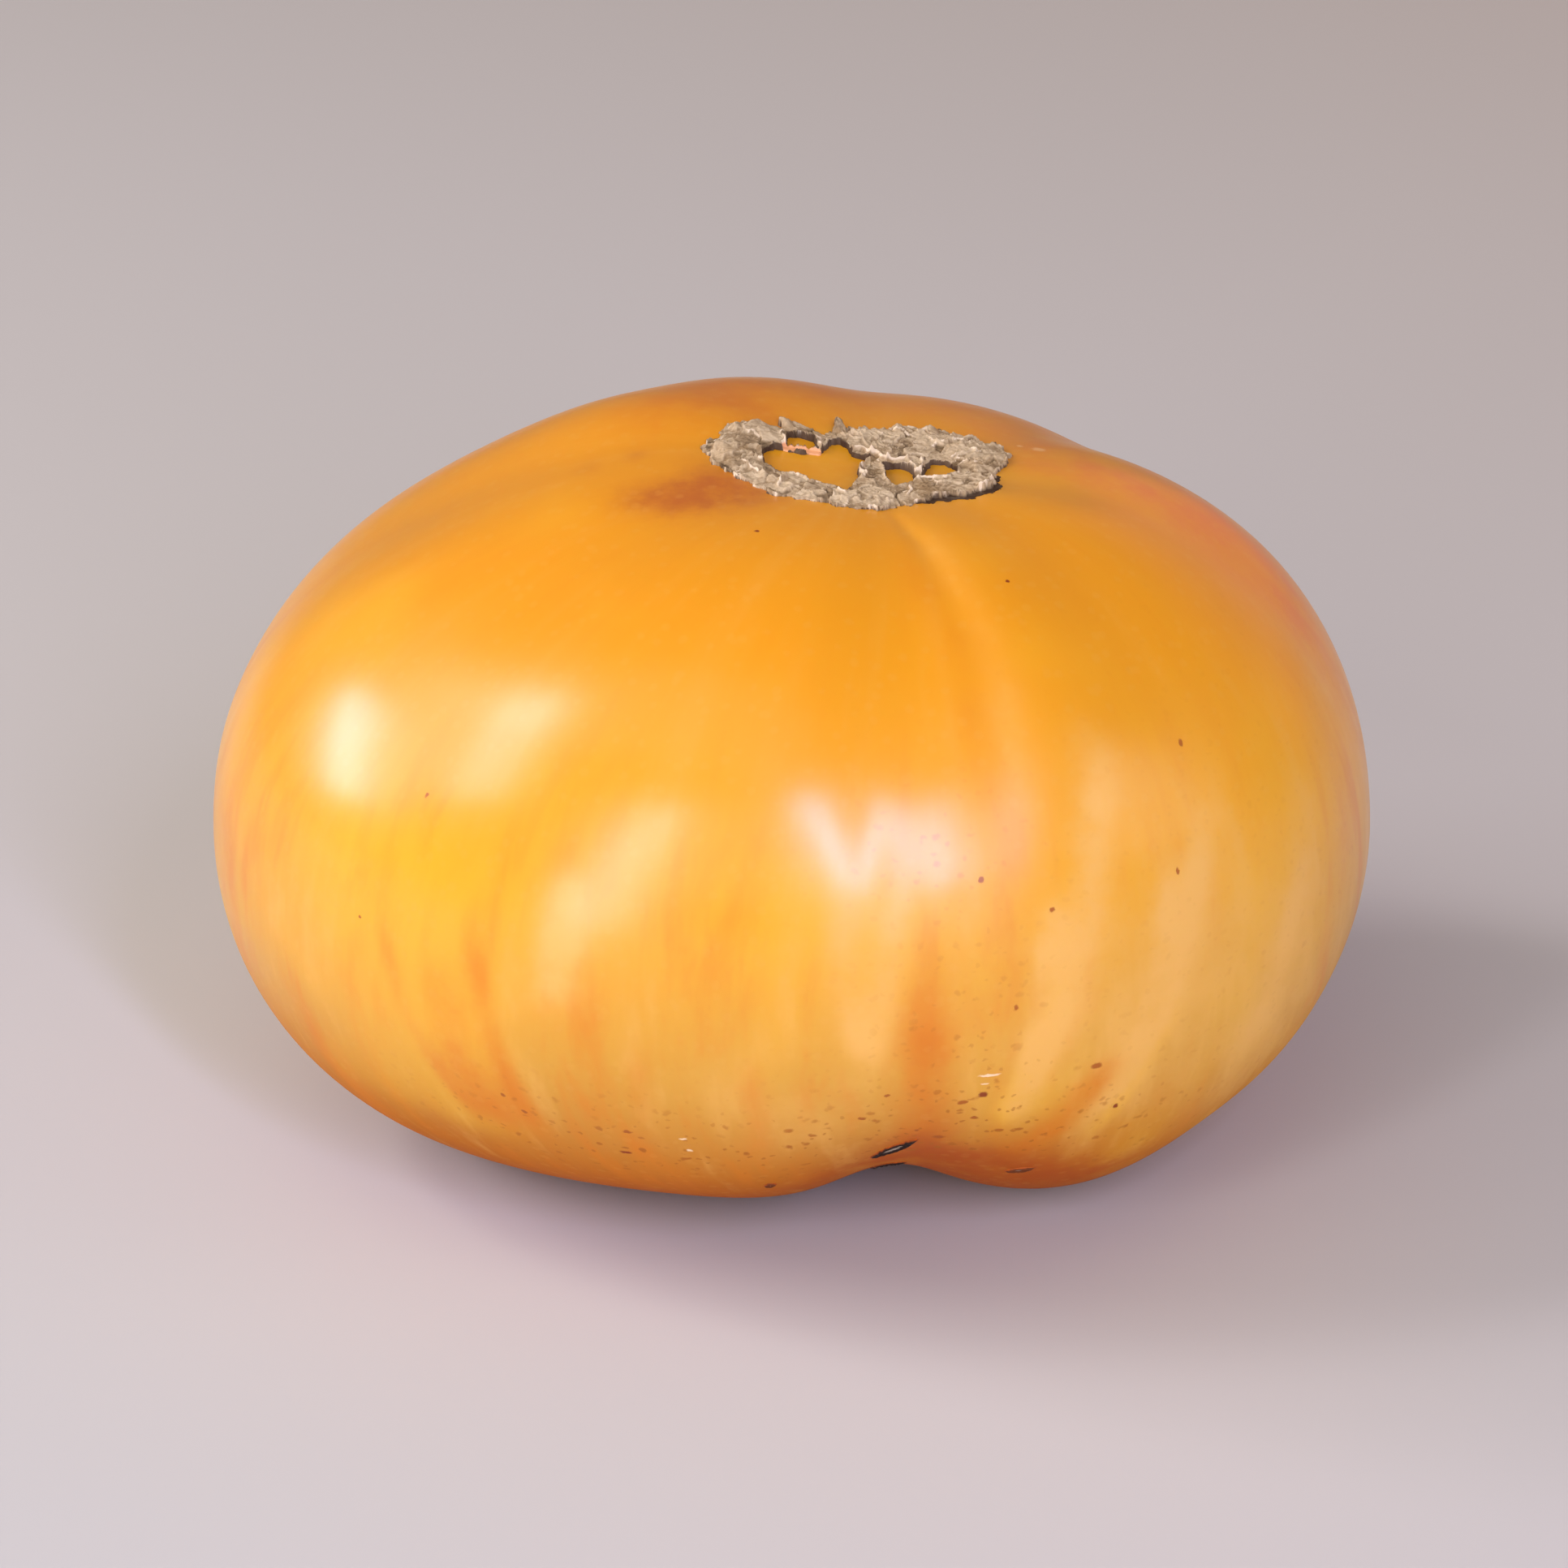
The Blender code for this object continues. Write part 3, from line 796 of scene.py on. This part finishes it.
def corkBody(flat, spec, tops, rimEdge, edge):
    # thickness of the mat in mm: a body that thins towards the rim, with folds, flakes and grit on it
    bigTop, smallTop = tops
    inward = smoothStep(edge, 0.0, corkRelief["thinning"])
    folds = crumple(flat / 2.6 + 3.1, spec["seed"] + 2)
    thin = 0.25 + 0.75 * smoothStep(rimEdge, 0.0, corkRelief["thinning"])
    body = spec["body"] * thin + spec["crumple"] * (folds - 0.5) * inward
    body = body + spec["flake"] * (bigTop + 0.5 * smallTop) * (0.30 + 0.70 * inward)
    body = body + spec["grit"] * latticeNoise(flat / 0.28, spec["seed"] + 9)
    return np.maximum(body, corkRelief["least"])


def corkHeights(x, y, spec):
    # height over the skin in mm: walls from under the skin up to the body, with curls, peaks and lips on top.
    # Also the masks that colour it: how high it is, which paints shade where the mat lies low, how light the
    # flake is, partly painted light as higher flakes are lighter, how much it is an edge that stands up,
    # partly a painted highlight, and how much painted shadow it takes as a wall.
    seed = spec["seed"]
    flat = np.stack([x, y, np.zeros(len(x))], axis=-1)
    warpX = moved(x, flat, 0.0, seed + 20)
    warpY = moved(y, flat, 5.5, seed + 21)
    bigTop, bigRim, bigOver = curledFlakes(warpX, warpY, spec["flakeSize"], seed + 22)
    smallTop, smallRim, smallOver = curledFlakes(warpX, warpY, 0.5 * spec["flakeSize"], seed + 23)
    rimEdge, holeEdge = corkEdges(x, y, flat, spec, bigTop)
    edge = np.minimum(rimEdge, holeEdge)
    body = corkBody(flat, spec, (bigTop, smallTop), rimEdge, edge)

    curl = np.zeros(len(x))
    for first, last, halfWidth, tall in spec.get("curls", ()):
        ridge = np.exp(-((fromLine(warpX, warpY, first, last) / halfWidth) ** 2))
        body = body + tall * ridge
        curl = np.maximum(curl, ridge)
    for angle, distance, tall, reach in spec.get("peaks", ()):
        away = np.hypot(x - distance * math.cos(angle * degree), y - distance * math.sin(angle * degree))
        body = body + tall * np.clip(1 - away / reach, 0, 1)
    first, last, gapWidth, lift = spec.get("gap", (0, 0, 0, 0))
    direction = np.arctan2(y, x) / degree
    lifted = smoothStep(direction, first - 6, first + 10) * (1 - smoothStep(direction, last - 10, last + 6))
    body = body + lift * lifted * smoothStep(rimEdge, 1.6, 0.1)
    curled = smoothStep(latticeNoise(flat / 2.2, seed + 12), -0.25, 0.25)
    lipMiddle, lipWidth = corkRelief["lip"]
    lip = curled * np.exp(-(((edge - lipMiddle) / lipWidth) ** 2))
    wall = smoothStep(edge, *corkRelief["wall"])
    height = -spec["sunk"] + wall * (spec["sunk"] + body + spec["lip"] * lip)
    # painted shadow: the gap is held low so that it takes the dark shade colour
    inGap = (rimEdge > -gapWidth * lifted) & (rimEdge < 0.05)
    height = np.where(inGap & (lifted > 0.1), corkRelief["gapHeight"], height)

    # pale: the cork's own paler curled edges and lips, and partly a painted highlight on edges that stand up
    standing = smoothStep(bigRim, 0.70, 0.97) * smoothStep(bigOver, 0.10, 0.45)
    standing = np.maximum(standing, 0.7 * smoothStep(smallRim, 0.70, 0.97) * smoothStep(smallOver, 0.10, 0.5))
    chosen = smoothStep(latticeNoise(flat / 1.3, seed + 30), 0.10, 0.45)
    shown = smoothStep(latticeNoise(flat / 0.9, seed + 31), -0.35, 0.15)
    pale = np.clip(np.maximum(np.maximum(lip, 0.8 * standing) * chosen, 1.2 * curl * shown), 0, 1)
    # partly painted light: a flake is lighter the higher it stands
    light = np.clip(0.5 + 0.50 * bigTop + 0.30 * smallTop, 0, 1)
    # painted shadow: how much a place is a wall at an opening's edge, or less so at the rim
    shade = np.maximum(smoothStep(holeEdge, 0.18, 0.06), 0.8 * smoothStep(rimEdge, 0.14, 0.03))
    return height, np.stack([np.clip(height / 1.6, 0, 1), light, pale], axis=-1), shade


def tornMask(x, y, spec):
    # 1 along the strip of skin, fading to 0 past its half width
    if "tornSkin" not in spec:
        return np.zeros(len(x)), 0.0
    first, last, halfWidth, tall = spec["tornSkin"]
    return 1 - smoothStep(fromLine(x, y, first, last), 0.75 * halfWidth, 1.15 * halfWidth), tall


def makeCorkFinish(name, spec):
    # tones from the flakes and two noises, partly painted light as higher flakes are lighter, then warm
    # stains, pale edges that stand up, partly a painted highlight, and painted shade on walls, in low places
    # and in the gap under the lifted rim
    f = Finish(name)
    place = f.place()
    high, light, pale = f.split(f.attribute("relief"))
    shade, torn, _ = f.split(f.attribute("edges"))
    fine = f.noise(f.stretch(place, (1, 1, 0.4)), 2200.0, 4.0, 0.6)
    patches = f.noise(place, 520.0, 3.0, 0.6)
    # the flakes' lightness and the height are partly painted light: higher is lighter
    tone = light * 0.60 + high * 0.20 + fine * 0.65 + patches * 0.60 - 0.53
    colour = f.ramp(tone, spec["tones"])
    colour = f.mix(colour, spec["warm"], f.ease(f.noise(place, 260.0, 2.0), 0.48, 0.66, 0, 0.35))
    # pale edges, partly a painted highlight
    colour = f.mix(colour, spec["pale"], f.ease(pale * (0.6 + fine), 0.35, 0.95) * 0.85)
    # painted shadow on the walls at the openings and rim, then painted shade where the mat lies low, in
    # recesses and in the gap under the lifted rim
    colour = f.mix(colour, spec["under"], f.ease(shade * (0.6 + fine), 0.45, 0.95) * 0.85)
    colour = f.mix(colour, spec["under"], f.ease(high, 0.050, 0.0))
    colour = f.mix(colour, spec["torn"], f.ease(torn, 0.3, 0.7))
    grain = f.bump(fine, 0.00008, 0.8)
    f.set({"Base Color": colour, "Roughness": f.ease(torn, 0.2, 0.8, 0.86, 0.45), "Normal": grain})
    f.set({"Specular IOR Level": 0.25})
    return f.material


def makeMat(name, spec, replaced=None, end=1):
    # rings round an end of the fruit that all follow the mat's rim, out to a little past it, laid on the skin
    # and raised by the mat's height
    rings, columns = spec["rings"], spec["columns"]
    turns = end * np.arange(columns) * 2 * math.pi / columns
    order = sorted((angle % 360, radius) for angle, radius in spec["rim"])
    reach = np.interp(turns / degree % 360, [a for a, _ in order], [r for _, r in order], period=360)
    reach = reach + corkRelief["past"]
    out = np.linspace(0, 1, rings + 1)[1:]
    x = np.concatenate([[0], (out[:, None] * reach * np.cos(turns)).ravel(), [0]])
    y = np.concatenate([[0], (out[:, None] * reach * np.sin(turns)).ravel(), [0]])
    under = skinAt(*planToAngles(x * mm, y * mm, end))
    height, masks, shade = corkHeights(x, y, spec)
    torn, tornHeight = tornMask(x, y, spec)
    height = height * (1 - torn) + torn * tornHeight
    points = under + np.outer(height * mm, (0, 0, end))
    points[-1] = under[0] - (0, 0, end * corkRelief["core"] * mm)
    edges = np.stack([shade, torn, np.zeros(len(x))], axis=-1)
    attributes = {"relief": masks, "edges": edges}
    piece = makeMesh(name, points, rings, columns, makeCorkFinish(name + "Finish", spec), attributes)
    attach(piece, "root")
    if replaced:
        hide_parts(replaced)
    return piece


# the scar at the blossom end, in the hollow underneath
blossomCork = {
    "columns": 260,
    "rings": 60,
    "seed": 47,
    "sunk": 0.5,
    "body": 0.42,
    "crumple": 0.45,
    "flakeSize": 1.3,
    "flake": 0.28,
    "grit": 0.05,
    "lip": 0.18,
    "ragged": 0.9,
    "rim": ((0, 5.6), (40, 4.0), (85, 3.0), (130, 3.6), (175, 5.2), (215, 4.1), (265, 2.8), (310, 3.9)),
    "openings": (((-1.8, -0.5), (-0.6, 0.5), (1.6, 0.3), (2.4, -0.4), (0.4, -0.9)),),
    "tones": (
        (0.0, (0.050, 0.026, 0.014)),
        (0.26, (0.160, 0.100, 0.055)),
        (0.52, (0.330, 0.230, 0.130)),
        (0.85, (0.520, 0.400, 0.260)),
    ),
    "warm": (0.36, 0.17, 0.06),
    # pale edges, partly a painted highlight, as on the stem's mat
    "pale": (0.70, 0.55, 0.36),
    # painted shade, as on the stem's mat
    "under": (0.050, 0.018, 0.006),
    "torn": (0.88, 0.42, 0.17),
}

# healed slits and a bead near the blossom end
scarLook = {
    # the two places in longitude and polar angle that each lies between, half width in mm, and the colours
    # inside it and round it
    "places": {
        "blossomSlitLong": ((-84.4, 125.2), (-78.6, 116.9), 0.60, "grey", "black"),
        "blossomSlitShort": ((-84.8, 136.8), (-79.6, 132.2), 0.55, "grey", "black"),
        "blossomSlitRight": ((-67.6, 129.3), (-64.6, 127.1), 0.34, "grey", "brown"),
        "blossomBead": ((-96.5, 127.6), (-96.5, 128.6), 0.30, "cream", "brown"),
    },
    "columns": 96,
    "rings": 26,
    "seed": 60,  # each takes the next ten
    # in mm: how far it goes past the slit's own outline, the lip round the slit, the wander of its outline,
    # and how far its outer edge dives under the skin and its underside comes to a point
    "overlap": 0.32,
    "lip": 0.14,
    "wander": 0.10,
    "sunk": 0.12,
    "core": 0.8,
    "lipAt": (0.62, 0.16),  # the lip's middle and width, in shares of the way out
    "divesFrom": 0.80,
    "grey": (0.40, 0.33, 0.24),
    "cream": (0.92, 0.72, 0.48),
    "black": (0.020, 0.009, 0.005),
    "brown": (0.14, 0.036, 0.008),
}


def makeScarFinish(name, inside, border):
    # the inside's colour in patches, the border's round them, and past its edge the painted shade that
    # darkens the skin round the blossom end
    f = Finish(name)
    slit = f.attribute("slit")
    out = f.split(slit)[0]
    fine = f.noise(f.place(), 2200.0, 3.0)
    ragged = out + (fine - 0.5) * 0.22
    colour = f.mix(scarLook[inside], scarLook[border], f.ease(f.noise(slit, 3.0, 4.0, 0.7), 0.50, 0.62))
    colour = f.mix(colour, scarLook[border], f.ease(ragged, 0.24, 0.40))
    colour = f.mix(colour, skinLook["colours"]["burnt"], f.ease(ragged, 0.74, 0.92))
    f.set({"Base Color": colour, "Roughness": f.ease(out, 0.5, 0.9, 0.8, 0.5)})
    f.set({"Normal": f.bump(fine, 0.00008, 0.6), "Specular IOR Level": 0.2})
    return f.material


def makeScar(name, first, last, halfWidth, inside, border, seed):
    # an ellipse with drawn-in ends, along = cos(turn) and across = sin(turn) * (1 - 0.45 * along^2), laid on
    # the skin by the form's slopes at its middle, with lips standing up round it
    ends = skinAt(np.array([first[0], last[0]]) * degree, np.array([first[1], last[1]]) * degree)
    middle = (np.array(first) + np.array(last)) / 2 * degree
    step = 0.01 * degree
    near = skinAt(middle[0] + np.array([0, step, 0]), middle[1] + np.array([0, 0, step]))
    slopes = np.stack([(near[1] - near[0]) / step, (near[2] - near[0]) / step], axis=-1)
    normal = np.cross(slopes[:, 1], slopes[:, 0])
    normal /= np.linalg.norm(normal)
    alongWay = ends[1] - ends[0]
    halfLength = np.linalg.norm(alongWay) / 2 / mm
    alongWay = alongWay / np.linalg.norm(alongWay)
    acrossWay = np.cross(normal, alongWay)
    turnsPerMetre = np.linalg.pinv(slopes)
    rings, columns = scarLook["rings"], scarLook["columns"]
    turns = np.tile(np.arange(columns) * 2 * math.pi / columns, rings)
    out = np.repeat(np.linspace(0, 1, rings + 1)[1:], columns)
    grow = scarLook["overlap"]
    along = (halfLength + grow) * out * np.cos(turns)
    across = (halfWidth + grow) * out * np.sin(turns) * (1 - 0.45 * np.cos(turns) ** 2)
    along, across, out = (np.concatenate([[0], row, [0]]) for row in (along, across, out))
    flat = np.stack([along, across, np.zeros(len(along))], axis=-1)
    across = across + scarLook["wander"] * latticeNoise(flat / 0.8, seed) * out
    offset = (np.outer(along, alongWay) + np.outer(across, acrossWay)) * mm
    angles = offset @ turnsPerMetre.T + middle
    lipMiddle, lipWidth = scarLook["lipAt"]
    rise = scarLook["lip"] * np.exp(-(((out - lipMiddle) / lipWidth) ** 2))
    rise = rise + 0.05 * latticeNoise(flat / 0.35, seed + 1)
    dive = smoothStep(out, scarLook["divesFrom"], 1.0)
    rise = (rise + 0.06) * (1 - dive) - scarLook["sunk"] * dive
    points = skinAt(angles[:, 0], angles[:, 1]) + np.outer(rise * mm, normal)
    points[-1] = points[0] - normal * scarLook["core"] * mm
    slit = np.stack([out, along / halfLength, 4 * across], axis=-1)
    finish = makeScarFinish(name + "Finish", inside, border)
    piece = makeMesh(name, points, rings, columns, finish, {"slit": slit})
    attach(piece, "root")
    return piece


stageLook = {
    "floorHalf": 4.0,
    "floorColour": (0.57, 0.57, 0.50),
    "floorRoughness": 0.7,
    "world": (1.0, 0.93, 0.84),
    "worldStrength": 0.20,
    "aim": (-0.8 * mm, 0.2 * mm, 31.2 * mm),
    "elevation": 24,
    "distance": 0.55,
    "lens": 138.6,
    # panels of light: direction from the camera's side towards +X, elevation, lean, width and height in m,
    # distance in m, brightness and colour
    "panels": {
        "leftPanel": (-102, 20, 38, 0.13, 0.34, 0.9, 21.0, (0.92, 0.78, 1.0)),
        "upperLeftPanel": (-84, 39, 36, 0.15, 0.46, 0.9, 11.5, (0.92, 0.83, 1.0)),
        "leftGlowPanel": (-96, 47, 30, 0.34, 0.17, 0.9, 4.4, (1.0, 0.95, 0.90)),
        "frontLeftPanel": (-33, 14, -6, 0.14, 0.80, 0.9, 12.0, (0.88, 0.82, 1.0)),
        "frontPanel": (19.0, 28, 12, 0.062, 0.44, 0.88, 45.0, (0.56, 0.53, 1.0)),
        "frontTailPanel": (19.0, 21, 12, 0.12, 0.76, 0.92, 6.0, (0.62, 0.66, 1.0)),
        "frontRightPanel": (31, 32, 0, 0.03, 0.25, 0.9, 4.0, (0.8, 0.80, 1.0)),
        "rightPanel": (72, 18, 0, 0.35, 0.45, 0.9, 2.0, (1.0, 0.93, 0.84)),
        "sidePanel": (138, 16, 0, 0.95, 0.75, 1.0, 0.8, (1.0, 0.29, 0.10)),
        "fillPanel": (-8, 24, 0, 1.3, 0.7, 1.3, 0.85, (1.0, 1.0, 0.92)),
        "topPanel": (-35, 66, 0, 1.0, 0.55, 1.1, 0.85, (1.0, 0.96, 0.88)),
    },
}


def aimAt(thing, point, lean=0):
    # the thing's own -Z points at the point, and its Y leans from upright towards the right seen from there
    upright = (point - thing.location).to_track_quat("-Z", "Y")
    thing.rotation_euler = (upright @ Quaternion((0, 0, 1), lean * degree)).to_euler()


def directionFrom(azimuth, elevation):
    # azimuth 0 is the camera's side, and 90 is +X
    a, e = azimuth * degree, elevation * degree
    return Vector((math.sin(a) * math.cos(e), -math.cos(a) * math.cos(e), math.sin(e)))


def makeStage():
    # a square floor, a dim even sky, the panels round the fruit and the camera, all turned to one point
    aim = Vector(stageLook["aim"])
    half = stageLook["floorHalf"]
    mesh = bpy.data.meshes.new("floor")
    corners = [(-half, -half, 0), (half, -half, 0), (half, half, 0), (-half, half, 0)]
    mesh.from_pydata(corners, [], [(0, 1, 2, 3)])
    f = Finish("floorFinish")
    f.set({"Base Color": stageLook["floorColour"], "Roughness": stageLook["floorRoughness"]})
    mesh.materials.append(f.material)
    floor = addObject("floor", mesh)

    world = bpy.data.worlds.new("softSky")
    world.use_nodes = True
    background = world.node_tree.nodes["Background"]
    background.inputs["Color"].default_value = (*stageLook["world"], 1)
    background.inputs["Strength"].default_value = stageLook["worldStrength"]
    bpy.context.scene.world = world
    bpy.context.scene.view_settings.view_transform = "Standard"

    for name, panel in stageLook["panels"].items():
        azimuth, elevation, lean, width, height, away, brightness, colour = panel
        light = bpy.data.lights.new(name, "AREA")
        light.shape = "RECTANGLE"
        light.size, light.size_y = width, height
        light.energy = brightness * math.pi * width * height
        light.color = colour
        lamp = addObject(name, light)
        lamp.location = aim + directionFrom(azimuth, elevation) * away
        aimAt(lamp, aim, lean)
        lamp.visible_camera = False

    camera = addObject("camera", bpy.data.cameras.new("camera"))
    camera.data.lens = stageLook["lens"]
    camera.location = aim + directionFrom(0, stageLook["elevation"]) * stageLook["distance"]
    aimAt(camera, aim)
    bpy.context.scene.camera = camera


makeStage()
print("floor, light and camera set")
makeSkin()
print("skin made")
makeMat("stemCork", stemCork, "stem_scar")
makeMat("blossomCork", blossomCork, end=-1)
print("cork made at both ends")
for order, (name, scar) in enumerate(scarLook["places"].items()):
    makeScar(name, *scar, scarLook["seed"] + 10 * order)
print("slits and bead made")
